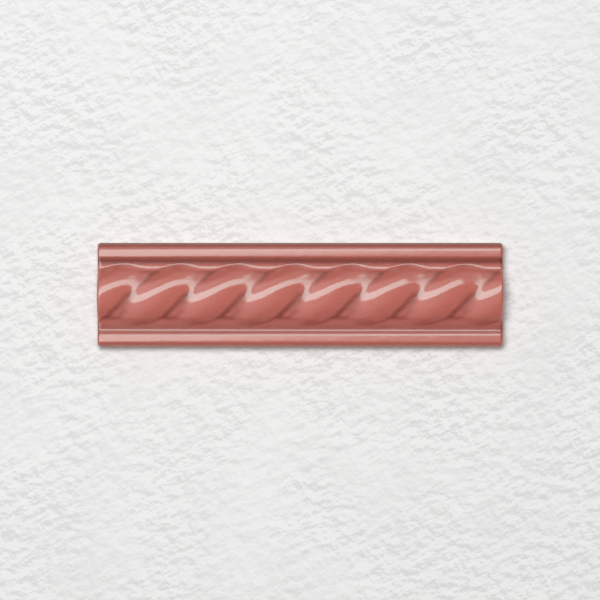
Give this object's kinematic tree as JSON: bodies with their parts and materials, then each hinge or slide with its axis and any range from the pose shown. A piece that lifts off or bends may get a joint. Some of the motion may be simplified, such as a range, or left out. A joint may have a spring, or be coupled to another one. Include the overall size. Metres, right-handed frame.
{
  "type": "rope moulding tile",
  "caption": "Narrow glazed ceramic trim tile with a raised twisted rope between two plain beads, on a flat keyed back.",
  "frame": {"origin": "middle of the flat back, on the surface that the tile lies on", "axes": "+X along the tile, +Y across it from bead to bead, +Z out of the glazed face"},
  "size_m": [0.152, 0.0392, 0.0138],
  "materials": {
    "glazed_ceramic": "gloss coral glaze over a pale fired body, the back left unglazed"
  },
  "bodies": {
    "root": {"rope_moulding_tile": "glazed_ceramic"}
  },
  "joints": []
}
